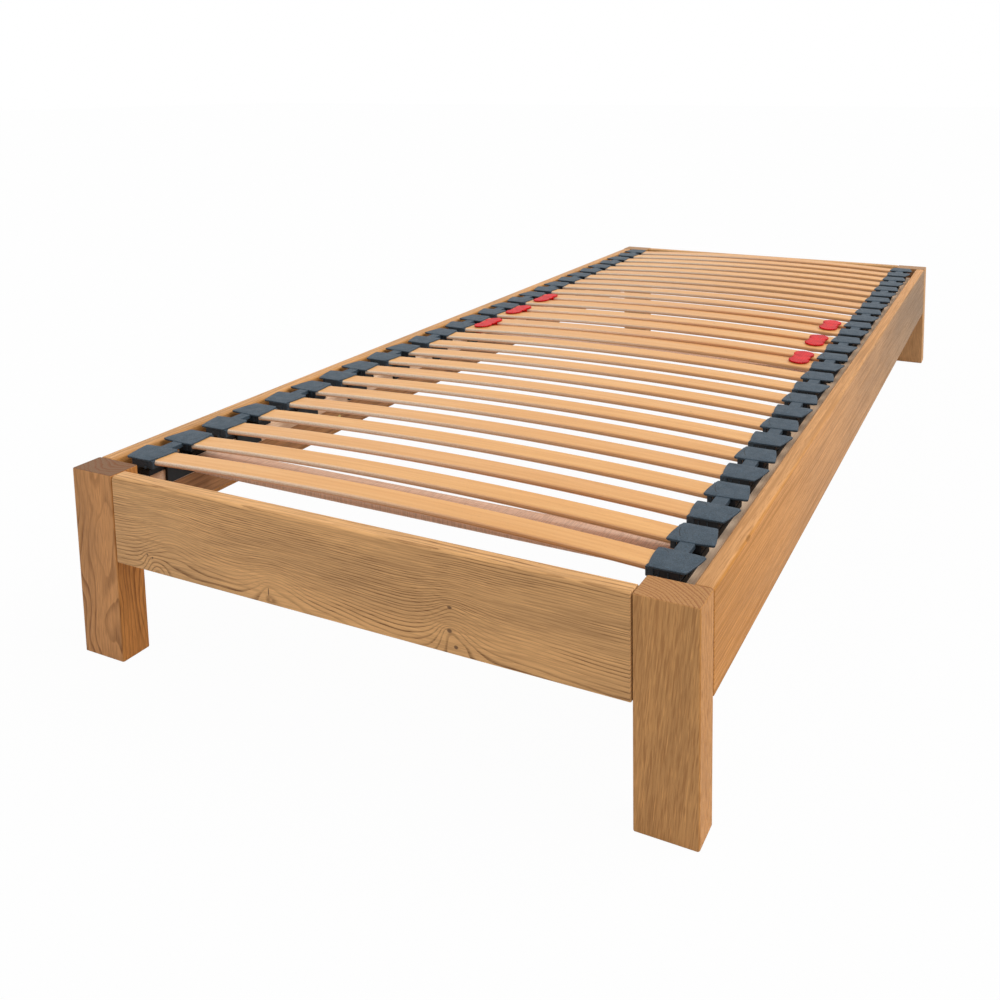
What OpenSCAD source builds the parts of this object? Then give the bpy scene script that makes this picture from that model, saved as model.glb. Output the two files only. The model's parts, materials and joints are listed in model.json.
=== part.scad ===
// Low single bed frame with a sprung slatted base.
// X runs across the bed, Y from the foot end to the head end, Z up.
// The origin is on the floor below the middle of the bed.

/* [Bed] */
// Width of the mattress
mattress_w = 900; // [800:10:1200]
// Length of the mattress
mattress_l = 2000; // [1900:10:2200]
// Play between the mattress size and the rails, on each side
mattress_play = 10; // [6:1:20]

/* [Legs] */
// Height of the legs, and of the bed's top edge
leg_h = 285; // [260:5:400]
// Size of a leg across the bed
leg_w = 80; // [70:1:100]
// Size of a leg along the bed
leg_d = 46; // [42:1:80]
// Radius on a leg's upright edges
leg_round = 3; // [1:0.5:6]

/* [Rails] */
// Thickness of the four rails
rail_t = 25; // [22:1:35]
// Height of the four rails
rail_h = 130; // [115:5:160]
// Radius on a rail's top edges
rail_round = 5; // [2:0.5:8]
// Radius on a rail's bottom edges
rail_round_low = 2; // [1:0.5:4]
// Shadow gap between a rail's end and a leg
joint_gap = 1; // [0.5:0.1:2]

/* [Ledges] */
// Width of the battens that carry the slatted base
ledge_w = 48; // [40:1:60]
// Height of the battens
ledge_h = 45; // [30:1:48]
// Depth of the battens' top below the top of the rails
ledge_drop = 52; // [48:1:60]
// Radius on the battens' inner edges
ledge_round = 2; // [1:0.5:4]
// Number of screws in each batten
ledge_screws_n = 6; // [4:1:10]
// Distance from a batten's end to its first screw
ledge_screw_inset = 90; // [50:5:200]

/* [Slatted base frame] */
// Width of a side bar
bar_w = 45; // [42:1:60]
// Thickness of the side bars and crossbars
bar_t = 26; // [22:1:30]
// Gap between a side bar and the rail beside it
bar_gap = 7; // [4:1:12]
// Gap between a side bar's end and a leg
bar_end_gap = 9; // [4:1:20]
// Radius on the bars' long edges
bar_round = 2.5; // [1:0.5:5]
// Width of a crossbar
crossbar_w = 40; // [30:1:60]
// Gap between a crossbar and the cap holder's flange beside it
crossbar_gap = 2; // [1:0.5:10]
// Thickness of the middle crossbar, which stays low to clear the slats
middle_crossbar_t = 16; // [12:1:20]
// Diameter of the dowels between crossbars and side bars
dowel_d = 8; // [6:1:10]
// Length of the dowels
dowel_l = 44; // [30:1:60]
// Distance between the two dowels of a crossbar's end
dowel_pitch = 20; // [14:1:26]

/* [Slats] */
// Width of a slat
slat_w = 38; // [34:1:40]
// Thickness of a slat
slat_t = 8; // [7:0.5:8.5]
// Radius on a slat's long edges
slat_round = 3; // [1:0.5:3.4]
// Rise of a slat's middle above its ends
camber = 12; // [8:1:24]
// Distance between the two slats of a pair, centre to centre
slat_pitch = 71; // [70:1:73]
// Distance from a side bar's end to the middle of the first pair
pair_inset = 66; // [61:1:80]
// Width of the third slat that each pair of the middle zone has
third_w = 24; // [20:1:25]
// Thickness of the third slat
third_t = 8; // [7:0.5:8.5]
// Depth of the third slat's top below the top of its pair
third_drop = 5; // [4:0.5:6]

/* [Slat caps] */
// Height of a cap's top above the top of the rails
cap_rise = 3; // [0:0.5:6]
// Height of a cap
cap_h = 15; // [15:0.5:16]
// Length of a cap lobe along the bed
lobe_l = 50; // [48:0.5:52]
// Size of a lobe across the bed, at its widest
lobe_w = 63; // [60:1:66]
// Gap between a lobe's tip and the rail
lobe_gap = 4; // [3:0.5:8]
// How much narrower a lobe gets on its inner side
lobe_taper_in = 7; // [4:1:9]
// How much narrower a lobe gets on its outer side
lobe_taper_out = 10; // [8:1:14]
// Distance of a lobe's outer tip from the edge that faces the other lobe
lobe_tip_set = 6; // [3:1:10]
// Thickness of the plate that tops a lobe
lobe_plate_t = 4.5; // [4:0.5:6]
// Width of the socket below the plate, across the bed
socket_w = 43; // [40:1:46]
// Distance of the socket's faces from the plate's edges
socket_inset = 2; // [1:0.5:2.5]
// Radius of the lobe's corners, seen from above
lobe_round = 3; // [2:0.5:4]
// Depth of a slat in its cap
slat_grip = 30; // [24:1:36]
// Depth of a slat's top below the top of its cap, at the slat's end
slat_sink = 4.5; // [4:0.5:5]
// Depth of a third slat in its cap
third_grip = 12; // [8:1:13]
// Wall of the pocket that holds a third slat
third_wall = 2; // [1.5:0.5:2.5]
// Play between a slat and its pocket
pocket_play = 0.25; // [0.2:0.05:0.5]
// Width of the bridge between two lobes
bridge_w = 20; // [18:1:22]
// Thickness of the bridge
bridge_t = 7; // [5:0.5:8]
// Depth of the bridge's top below the top of the cap
bridge_drop = 1.5; // [1:0.5:3]

/* [Cap holders] */
// Length of a holder along the bed
holder_l = 108; // [100:1:114]
// Width of a holder's base
holder_w = 28; // [26:1:32]
// Thickness of a holder's base
holder_t = 4; // [3:0.5:5]
// Thickness of the flange on the bar's inner face
flange_t = 5; // [3:0.5:6]
// Length of the flange along the bed
flange_l = 52; // [40:1:80]
// Gap between the flange and the batten below
flange_gap = 4; // [2:0.5:8]
// Height of the pivot above the side bar
pivot_h = 9.5; // [9:0.5:10]
// Diameter of the pivot pin
pin_d = 5; // [4:0.5:5]
// Radius of the knuckle that turns on the pin
knuckle_r = 5; // [4:0.5:5]
// Width of the knuckle
knuckle_w = 12; // [10:0.5:14]
// Thickness of the two ears that hold the pin
ear_t = 4; // [3:0.5:5]
// Side play of the knuckle between the ears
ear_play = 0.5; // [0.3:0.1:1]
// Radial play of the knuckle on the pin
pin_play = 0.08; // [0.05:0.01:0.1]
// Height of the stops under the lobes
stop_h = 5; // [3:0.5:5.5]
// Length of a stop along the bed
stop_l = 28; // [20:1:30]
// Diameter of the pegs that hold a holder in the bar
peg_d = 10; // [8:0.5:12]
// Length of the pegs
peg_l = 14; // [8:1:18]
// Distance between the two pegs of a holder
peg_pitch = 40; // [30:1:50]
// Radial play of a peg in its bore
peg_play = 0.1; // [0.05:0.05:0.2]

/* [Hardness sliders] */
// Diameter of each of a slider's two discs
disc_d = 42; // [38:1:46]
// Distance between the discs' centres
disc_pitch = 50; // [46:1:54]
// Width of the waist between the discs
waist_w = 30; // [20:1:36]
// Thickness of the top and bottom plates
plate_t = 3; // [2:0.5:4]
// Distance of a slider's middle from the caps
slider_inset = 27; // [25:1:60]
// Radial play between a slider and the slats
slider_play = 1.2; // [1:0.1:1.5]
// Side play between a slider and the slats
slider_side_play = 0.9; // [0.5:0.1:1]

/* [Rail fittings] */
// Height of a hook plate
hook_plate_h = 90; // [80:2:100]
// Width of a hook plate
hook_plate_w = 16; // [14:1:18]
// Thickness of a hook plate
hook_plate_t = 3; // [2:0.5:4]
// Distance of a plate's lower end above the rail's bottom
hook_plate_lift = 18; // [12:1:20]
// Length of a plate slot
slot_l = 16; // [14:1:20]
// Width of a plate slot
slot_w = 4; // [3:0.5:5]
// Height of a hook's neck
hook_neck = 8; // [6:1:10]
// Length of a hook's lip below its neck
hook_lip = 5; // [3:1:5]
// Play of a hook in its slot
hook_play = 0.3; // [0.2:0.1:0.5]
// Diameter of a wood screw's shank
screw_d = 3.5; // [3:0.5:5]
// Diameter of a wood screw's head
screw_head_d = 7; // [6:0.5:8]
// Length of a plate's screws
plate_screw_l = 22; // [16:1:30]
// Distance from a plate's end to its screw
plate_screw_inset = 8; // [6:1:10]
// Distance from a plate's screw to the end of the slot beside it
slot_screw_gap = 4.5; // [4:0.5:8]
// Length of a batten's screws
ledge_screw_l = 60; // [55:1:64]
// Radial play of a screw in its bore
screw_play = 0.05; // [0.02:0.01:0.1]

/* [Hidden] */
$fn = 64;
// Segments of a full turn of the slats' large arc
ARC_FN = 2160;
// Length that makes a cut run past the face it opens
OVER = 1;
PAIRS = 14;
// Pairs that have a third slat and two sliders
ZONE = [7, 8, 9];

inner_w = mattress_w + 2 * mattress_play;
inner_l = mattress_l + 2 * mattress_play;
bed_w = inner_w + 2 * rail_t;
bed_l = inner_l + 2 * rail_t;
rail_z = leg_h - rail_h;
cross_rail_l = bed_w - 2 * leg_w - 2 * joint_gap;
side_rail_l = bed_l - 2 * leg_d - 2 * joint_gap;

ledge_top = leg_h - ledge_drop;
ledge_l = side_rail_l;
ledge_screw_pitch = (ledge_l - 2 * ledge_screw_inset) / (ledge_screws_n - 1);

bar_out = inner_w / 2 - bar_gap;
bar_in = bar_out - bar_w;
bar_l = bed_l - 2 * leg_d - 2 * bar_end_gap;
bar_top = ledge_top + bar_t;
crossbar_y = bar_l / 2 - pair_inset - flange_l / 2 - crossbar_gap - crossbar_w / 2;

pair_pitch = (bar_l - 2 * pair_inset) / (PAIRS - 1);
cap_top = leg_h + cap_rise;
cap_bottom = cap_top - cap_h;
lobe_tip = inner_w / 2 - lobe_gap;
lobe_in = lobe_tip - lobe_w;
lobe_y0 = slat_pitch / 2 - lobe_l / 2;
lobe_y1 = slat_pitch / 2 + lobe_l / 2;
slat_half = lobe_in + slat_grip;

end_z = cap_top - slat_sink - slat_t / 2;
arc_r = (pow(slat_half, 2) + pow(camber, 2)) / (2 * camber);
arc_z = end_z + camber - arc_r;
third_r = arc_r + slat_t / 2 - third_drop - third_t / 2;
third_half = lobe_in + third_grip;

holder_out = bar_in + holder_w;
holder_mid = (bar_in + holder_out) / 2;
pivot_z = bar_top + pivot_h;
knuckle_x = holder_mid;
flange_z = ledge_top + flange_gap;

slider_x = lobe_in - slider_inset;
slider_turn = asin(slider_x / arc_r);
slider_top = slat_t / 2 + slider_play + plate_t;
slider_low = third_drop + third_t - slat_t / 2 + slider_play + plate_t;

hook_z = rail_z + hook_plate_lift;
hook_mid = hook_z + hook_plate_h / 2;
hook_pitch = hook_plate_h - 2 * (plate_screw_inset + slot_screw_gap + slot_l);
hook_reach = joint_gap + hook_plate_t + hook_play;
pocket_depth = hook_reach + slot_w + hook_play - joint_gap;

function pair_y(k) = (k - (PAIRS + 1) / 2) * pair_pitch;
function two(k) = k < 10 ? str("0", k) : str(k);
function named(stem, k) = str(stem, "_", two(k));

SLAT_NAMES = [for (k = [1 : PAIRS]) named("slats", k)];
CAP_NAMES = [for (k = [1 : PAIRS]) named("caps", k)];
THIRD_NAMES = [for (k = ZONE) named("third_slat", k)];
SLIDER_L_NAMES = [for (k = ZONE) named("slider_left", k)];
SLIDER_R_NAMES = [for (k = ZONE) named("slider_right", k)];
FIXED_NAMES = [
    "leg_foot_left", "leg_foot_right", "leg_head_left", "leg_head_right",
    "foot_rail", "head_rail", "left_rail", "right_rail",
    "left_ledge", "right_ledge", "left_side_bar", "right_side_bar",
    "foot_crossbar", "middle_crossbar", "head_crossbar",
    "left_cap_holders", "right_cap_holders", "pivot_pins", "frame_dowels",
    "rail_hook_plates", "leg_slot_plates", "plate_screws", "ledge_screws"
];

// ---------- shared shapes ----------

// Rectangle from the origin with its own radius on the left and right corner pairs
module soft_rect(size, r_low, r_high) {
    w = size[0];
    h = size[1];
    translate([r_low, 0]) square([w - 2 * r_low, h - r_high]);
    translate([0, r_low]) square([w, h - r_low - r_high]);
    translate([r_high, r_low]) square([w - 2 * r_high, h - r_low]);
    for (x = [r_low, w - r_low]) translate([x, r_low]) circle(r_low);
    for (x = [r_high, w - r_high]) translate([x, h - r_high]) circle(r_high);
}

// A bar along Y whose section is a soft rectangle in X and Z
module bar_y(w, h, l, r_low, r_high) {
    translate([-w / 2, l / 2, 0]) rotate([90, 0, 0]) linear_extrude(l) soft_rect([w, h], r_low, r_high);
}

// The same along X
module bar_x(w, h, l, r_low, r_high) {
    rotate([0, 0, 90]) bar_y(w, h, l, r_low, r_high);
}

module rod_x(r, l) {
    rotate([0, 90, 0]) cylinder(r = r, h = l, center = true);
}

// Countersunk screw with its head's face at the origin, pointing along -Z
module screw(l, play = 0) {
    head_h = (screw_head_d - screw_d) / 2;
    translate([0, 0, -l]) cylinder(d = screw_d + 2 * play, h = l);
    translate([0, 0, -head_h]) cylinder(d1 = screw_d + 2 * play, d2 = screw_head_d + 2 * play, h = head_h);
}

// A stretch of the slats' arc, bent about an axis along Y; the section is given across Y and outward
module arc_bar(r, half, w, t, round_r) {
    turn = asin(half / r);
    translate([0, 0, arc_z]) rotate([90, 0, 0]) rotate([0, 0, 90 - turn])
        rotate_extrude(angle = 2 * turn, $fn = ARC_FN)
            translate([r - t / 2, w / 2]) rotate([0, 0, -90]) soft_rect([w, t], round_r, round_r, $fn = 24);
}

// Square-edged arc used as a cutter, from angle a0 to angle a1 measured from the top towards +X
module arc_cut(r, a0, a1, y0, y1, t) {
    translate([0, 0, arc_z]) rotate([90, 0, 0]) rotate([0, 0, 90 - a1])
        rotate_extrude(angle = a1 - a0, $fn = ARC_FN)
            translate([r - t / 2, -y1]) square([t, y1 - y0]);
}

// ---------- rail fittings ----------

// Places its child at every joint of a rail and a leg. The child lies in the
// XZ plane, with +X out of the rail into the leg and the rail's end at x = 0.
module at_joints() {
    for (sx = [-1, 1], sy = [-1, 1]) {
        translate([sx * cross_rail_l / 2, sy * (bed_l - rail_t) / 2, 0])
            rotate([0, 0, sx > 0 ? 0 : 180]) children();
        translate([sx * (bed_w - rail_t) / 2, sy * side_rail_l / 2, 0])
            rotate([0, 0, sy * 90]) children();
    }
}

module at_plate_screws(x, flip) {
    for (z = [hook_z + plate_screw_inset, hook_z + hook_plate_h - plate_screw_inset])
        translate([x, 0, z]) rotate([0, flip ? -90 : 90, 0]) children();
}

module hook_plate() {
    difference() {
        translate([-hook_plate_t, -hook_plate_w / 2, hook_z])
            cube([hook_plate_t, hook_plate_w, hook_plate_h]);
        at_plate_screws(0, false) screw(plate_screw_l, screw_play);
    }
    for (s = [-1, 1]) translate([0, 0, hook_mid + s * hook_pitch / 2]) {
        hook_w = slot_w - 2 * hook_play;
        translate([-OVER / 2, -hook_w / 2, 0]) cube([hook_reach + slot_w + OVER / 2, hook_w, hook_neck]);
        translate([hook_reach, -hook_w / 2, -hook_lip]) cube([slot_w, hook_w, hook_lip + OVER]);
    }
}

module slot_plate() {
    difference() {
        translate([joint_gap, -hook_plate_w / 2, hook_z])
            cube([hook_plate_t, hook_plate_w, hook_plate_h]);
        for (s = [-1, 1]) translate([joint_gap - OVER, -slot_w / 2, hook_mid + s * hook_pitch / 2])
            cube([hook_plate_t + 2 * OVER, slot_w, slot_l]);
        at_plate_screws(joint_gap, true) screw(plate_screw_l, screw_play);
    }
}

// Recess in a rail's end for the hook plate and its screws
module rail_recess() {
    translate([-hook_plate_t, -hook_plate_w / 2, hook_z])
        cube([hook_plate_t + OVER, hook_plate_w, hook_plate_h]);
    at_plate_screws(0, false) screw(plate_screw_l, screw_play);
}

// Recess in a leg for the slot plate, its screws and the hooks behind it
module leg_recess() {
    translate([joint_gap - OVER, -hook_plate_w / 2, hook_z])
        cube([hook_plate_t + OVER, hook_plate_w, hook_plate_h]);
    for (s = [-1, 1])
        translate([joint_gap, -slot_w / 2, hook_mid + s * hook_pitch / 2 - hook_lip - hook_play])
            cube([pocket_depth, slot_w, slot_l + hook_lip + 2 * hook_play]);
    at_plate_screws(joint_gap, true) screw(plate_screw_l, screw_play);
}

// ---------- wooden frame ----------

module leg(sx, sy) {
    color("peru") difference() {
        translate([sx * (bed_w - leg_w) / 2 - leg_w / 2, sy * (bed_l - leg_d) / 2 - leg_d / 2, 0])
            linear_extrude(leg_h) soft_rect([leg_w, leg_d], leg_round, leg_round);
        at_joints() leg_recess();
    }
}

module cross_rail(sy) {
    color("burlywood") difference() {
        translate([0, sy * (bed_l - rail_t) / 2, rail_z])
            bar_x(rail_t, rail_h, cross_rail_l, rail_round_low, rail_round);
        at_joints() rail_recess();
    }
}

module side_rail(sx) {
    color("burlywood") difference() {
        translate([sx * (bed_w - rail_t) / 2, 0, rail_z])
            bar_y(rail_t, rail_h, side_rail_l, rail_round_low, rail_round);
        at_joints() rail_recess();
        at_ledge_screws(sx) screw(ledge_screw_l, screw_play);
    }
}

// Places its child at each batten screw, pointing outward through batten and rail
module at_ledge_screws(sx) {
    for (i = [0 : ledge_screws_n - 1])
        translate([sx * (inner_w / 2 - ledge_w), -ledge_l / 2 + ledge_screw_inset + i * ledge_screw_pitch,
                   ledge_top - ledge_h / 2]) rotate([0, -sx * 90, 0]) children();
}

module ledge(sx) {
    color("sandybrown") difference() {
        translate([sx * (inner_w - ledge_w) / 2, 0, ledge_top - ledge_h])
            bar_y(ledge_w, ledge_h, ledge_l, ledge_round, ledge_round);
        at_ledge_screws(sx) screw(ledge_screw_l, screw_play);
    }
}

// ---------- slatted base frame ----------

// Places its child at each holder of one side, with +X outward
module at_holders(sx) {
    for (k = [1 : PAIRS]) translate([0, pair_y(k), 0]) mirror([sx < 0 ? 1 : 0, 0, 0]) children();
}

module at_pegs() {
    for (s = [-1, 1]) translate([holder_mid, s * peg_pitch / 2, bar_top - peg_l]) children();
}

// Places its child at each dowel; a crossbar is given by its place and thickness
module at_dowels() {
    for (c = [[-crossbar_y, bar_t], [0, middle_crossbar_t], [crossbar_y, bar_t]], s = [-1, 1], sx = [-1, 1])
        translate([sx * bar_in, c[0] + s * dowel_pitch / 2, ledge_top + c[1] / 2]) children();
}

module side_bar(sx) {
    color("wheat") difference() {
        translate([sx * (bar_out + bar_in) / 2, 0, ledge_top])
            bar_y(bar_w, bar_t, bar_l, bar_round, bar_round);
        at_holders(sx) at_pegs() cylinder(d = peg_d + 2 * peg_play, h = peg_l + OVER);
        at_dowels() rod_x(dowel_d / 2, dowel_l);
    }
}

module crossbar(y, t) {
    color("wheat") difference() {
        translate([0, y, ledge_top]) bar_x(crossbar_w, t, 2 * bar_in, bar_round, bar_round);
        at_dowels() rod_x(dowel_d / 2, dowel_l);
    }
}

// ---------- caps and their holders ----------

module holder() {
    z0 = bar_top;
    difference() {
        union() {
            translate([bar_in, -holder_l / 2, z0]) cube([holder_w, holder_l, holder_t]);
            translate([bar_in - flange_t, -flange_l / 2, flange_z])
                cube([flange_t, flange_l, z0 + holder_t - flange_z]);
            for (s = [-1, 1]) translate([bar_in, s * (holder_l - stop_l) / 2 - stop_l / 2, z0])
                cube([holder_w, stop_l, holder_t + stop_h]);
            for (s = [-1, 1]) translate([knuckle_x + s * (knuckle_w / 2 + ear_play + ear_t / 2), 0, 0]) {
                translate([-ear_t / 2, -knuckle_r, z0]) cube([ear_t, 2 * knuckle_r, pivot_h]);
                translate([0, 0, pivot_z]) rod_x(knuckle_r, ear_t);
            }
            at_pegs() cylinder(d = peg_d, h = peg_l + OVER);
        }
        translate([knuckle_x, 0, pivot_z]) rod_x(pin_d / 2, holder_w);
    }
}

module pivot_pin() {
    translate([knuckle_x, 0, pivot_z]) rod_x(pin_d / 2, knuckle_w + 2 * ear_play + 2 * ear_t);
}

// Plan of a lobe's plate, on the +Y side of the pair
module lobe_plan() {
    r = lobe_round;
    hull() {
        translate([lobe_in + r, lobe_y0 + r]) circle(r, $fn = 32);
        translate([lobe_in + r, lobe_y0 + lobe_l / 3]) circle(r, $fn = 32);
        translate([lobe_in + lobe_taper_in + r, lobe_y1 - r]) circle(r, $fn = 32);
        translate([lobe_tip - lobe_taper_out - r, lobe_y1 - r]) circle(r, $fn = 32);
        translate([lobe_tip - r, lobe_y0 + lobe_tip_set + r]) circle(r, $fn = 32);
        translate([lobe_tip - lobe_taper_out - r, lobe_y0 + r]) circle(r, $fn = 32);
    }
}

// The two lobes, bridge and knuckle of a cap on the +X side, with its slat pockets
module cap() {
    end_wall = pocket_play + third_wall;
    third_end_z = arc_z + sqrt(pow(third_r, 2) - pow(third_half, 2));
    third_in_z = arc_z + sqrt(pow(third_r, 2) - pow(lobe_in, 2));
    third_low = third_end_z - third_t / 2 - end_wall;
    third_high = third_in_z + third_t / 2 + end_wall;
    difference() {
        union() {
            for (s = [0, 1]) mirror([0, s, 0]) {
                translate([0, 0, cap_top - lobe_plate_t]) linear_extrude(lobe_plate_t) lobe_plan();
                translate([lobe_in + socket_inset, lobe_y0, cap_bottom])
                    cube([socket_w, lobe_l - socket_inset, cap_h - lobe_plate_t / 2]);
            }
            translate([lobe_in + socket_inset, -lobe_y0 - OVER, third_low])
                cube([third_grip - socket_inset + end_wall, 2 * (lobe_y0 + OVER), third_high - third_low]);
            translate([knuckle_x - bridge_w / 2, -lobe_y0 - OVER, cap_top - bridge_drop - bridge_t])
                cube([bridge_w, 2 * (lobe_y0 + OVER), bridge_t]);
            translate([knuckle_x - knuckle_w / 2, -knuckle_r, pivot_z])
                cube([knuckle_w, 2 * knuckle_r, cap_top - bridge_drop - bridge_t / 2 - pivot_z]);
            translate([knuckle_x, 0, pivot_z]) rod_x(knuckle_r, knuckle_w);
        }
        for (s = [-1, 1]) slat_pocket(arc_r, slat_half, s * slat_pitch / 2, slat_w, slat_t);
        slat_pocket(third_r, third_half, 0, third_w, third_t);
        translate([knuckle_x, 0, pivot_z]) rod_x(pin_d / 2 + pin_play, holder_w);
    }
}

// Pocket for the end of a slat that runs along a given arc
module slat_pocket(r, half, y, w, t) {
    arc_cut(r, asin((lobe_in - OVER) / r), asin((half + pocket_play) / r),
            y - w / 2 - pocket_play, y + w / 2 + pocket_play, t + 2 * pocket_play);
}

module cap_pair(k) {
    color("slategray") translate([0, pair_y(k), 0]) for (s = [0, 1]) mirror([s, 0, 0]) cap();
}

// ---------- slats and sliders ----------

module slat_pair(k) {
    color("burlywood") for (s = [-1, 1]) translate([0, pair_y(k) + s * slat_pitch / 2, 0])
        arc_bar(arc_r, slat_half, slat_w, slat_t, slat_round);
}

module third_slat(k) {
    color("tan") translate([0, pair_y(k), 0]) arc_bar(third_r, third_half, third_w, third_t, slat_round);
}

// Plan of a slider: two discs joined by a waist, kept within half_y of the middle
module slider_plan(half_y) {
    intersection() {
        union() {
            for (s = [-1, 1]) translate([0, s * disc_pitch / 2]) circle(d = disc_d, $fn = 96);
            square([waist_w, disc_pitch], center = true);
        }
        square([disc_d + OVER, 2 * half_y], center = true);
    }
}

// A slider grips a pair's two slats and the third slat between them
module slider(k, sx) {
    slat_in = slat_pitch / 2 - slat_w / 2 - slider_side_play;
    slat_out = disc_pitch + disc_d;
    near = asin((slider_x - disc_d) / arc_r);
    far = asin((slider_x + disc_d) / arc_r);
    low_plate = slat_t / 2 + slider_play + plate_t;
    color("crimson") translate([0, pair_y(k), 0]) mirror([sx < 0 ? 1 : 0, 0, 0]) difference() {
        translate([0, 0, arc_z]) rotate([0, slider_turn, 0]) {
            translate([0, 0, arc_r - low_plate]) linear_extrude(low_plate + slider_top) slider_plan(slat_out);
            translate([0, 0, arc_r - slider_low]) linear_extrude(slider_low) slider_plan(slat_in);
        }
        for (s = [-1, 1])
            arc_cut(arc_r, near, far, min(s * slat_in, s * slat_out), max(s * slat_in, s * slat_out),
                    slat_t + 2 * slider_play);
        arc_cut(third_r, near, far, -third_w / 2 - slider_side_play, third_w / 2 + slider_side_play,
                third_t + 2 * slider_play);
    }
}

// ---------- one module per sub-part ----------

module leg_foot_left() { leg(-1, -1); }
module leg_foot_right() { leg(1, -1); }
module leg_head_left() { leg(-1, 1); }
module leg_head_right() { leg(1, 1); }
module foot_rail() { cross_rail(-1); }
module head_rail() { cross_rail(1); }
module left_rail() { side_rail(-1); }
module right_rail() { side_rail(1); }
module left_ledge() { ledge(-1); }
module right_ledge() { ledge(1); }
module left_side_bar() { side_bar(-1); }
module right_side_bar() { side_bar(1); }
module foot_crossbar() { crossbar(-crossbar_y, bar_t); }
module middle_crossbar() { crossbar(0, middle_crossbar_t); }
module head_crossbar() { crossbar(crossbar_y, bar_t); }
module left_cap_holders() { color("dimgray") at_holders(-1) holder(); }
module right_cap_holders() { color("dimgray") at_holders(1) holder(); }
module pivot_pins() { color("silver") for (sx = [-1, 1]) at_holders(sx) pivot_pin(); }
module frame_dowels() { color("wheat") at_dowels() rod_x(dowel_d / 2, dowel_l - OVER); }
module rail_hook_plates() { color("silver") at_joints() hook_plate(); }
module leg_slot_plates() { color("gray") at_joints() slot_plate(); }
module plate_screws() {
    color("goldenrod") at_joints() {
        at_plate_screws(0, false) screw(plate_screw_l);
        at_plate_screws(joint_gap, true) screw(plate_screw_l);
    }
}
module ledge_screws() { color("goldenrod") for (sx = [-1, 1]) at_ledge_screws(sx) screw(ledge_screw_l); }

leg_foot_left();
leg_foot_right();
leg_head_left();
leg_head_right();
foot_rail();
head_rail();
left_rail();
right_rail();
left_ledge();
right_ledge();
left_side_bar();
right_side_bar();
foot_crossbar();
middle_crossbar();
head_crossbar();
left_cap_holders();
right_cap_holders();
pivot_pins();
frame_dowels();
rail_hook_plates();
leg_slot_plates();
plate_screws();
ledge_screws();
for (k = [1 : PAIRS]) {
    slat_pair(k);
    cap_pair(k);
}
for (k = ZONE) {
    third_slat(k);
    slider(k, -1);
    slider(k, 1);
}
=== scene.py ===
import json
import math
import random

import bmesh
import bpy
from mathutils import Matrix, Vector

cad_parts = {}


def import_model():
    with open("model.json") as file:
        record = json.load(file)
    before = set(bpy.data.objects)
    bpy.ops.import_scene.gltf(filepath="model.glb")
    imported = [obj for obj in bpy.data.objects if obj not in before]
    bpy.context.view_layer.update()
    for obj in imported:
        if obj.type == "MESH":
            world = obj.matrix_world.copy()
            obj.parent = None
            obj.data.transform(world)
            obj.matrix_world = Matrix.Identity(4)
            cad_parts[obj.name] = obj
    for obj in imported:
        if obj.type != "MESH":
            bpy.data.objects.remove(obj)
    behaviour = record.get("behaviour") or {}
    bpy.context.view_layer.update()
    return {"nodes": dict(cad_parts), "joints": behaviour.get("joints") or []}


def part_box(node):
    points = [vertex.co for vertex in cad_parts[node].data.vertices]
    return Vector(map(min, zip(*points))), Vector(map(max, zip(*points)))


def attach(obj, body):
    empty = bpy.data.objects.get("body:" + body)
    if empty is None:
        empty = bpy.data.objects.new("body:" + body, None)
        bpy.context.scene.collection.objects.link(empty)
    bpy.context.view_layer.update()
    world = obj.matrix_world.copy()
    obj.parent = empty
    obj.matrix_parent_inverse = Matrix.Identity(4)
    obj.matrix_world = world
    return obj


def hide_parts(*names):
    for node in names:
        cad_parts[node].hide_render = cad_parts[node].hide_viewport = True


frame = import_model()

rng = random.Random(7)
X, Y, Z = 0, 1, 2
PAIRS = [name[-2:] for name in sorted(frame["nodes"]) if name.startswith("caps_")]
ZONE = [name[-2:] for name in sorted(frame["nodes"]) if name.startswith("third_slat_")]


# ---------------------------------------------------------------- shader words

def rgb(r, g, b):
    """A colour given as it looks on screen, as the linear value that a shader takes."""
    def linear(c):
        c /= 255
        return c / 12.92 if c <= 0.04045 else ((c + 0.055) / 1.055) ** 2.4
    return (linear(r), linear(g), linear(b), 1.0)


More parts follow.
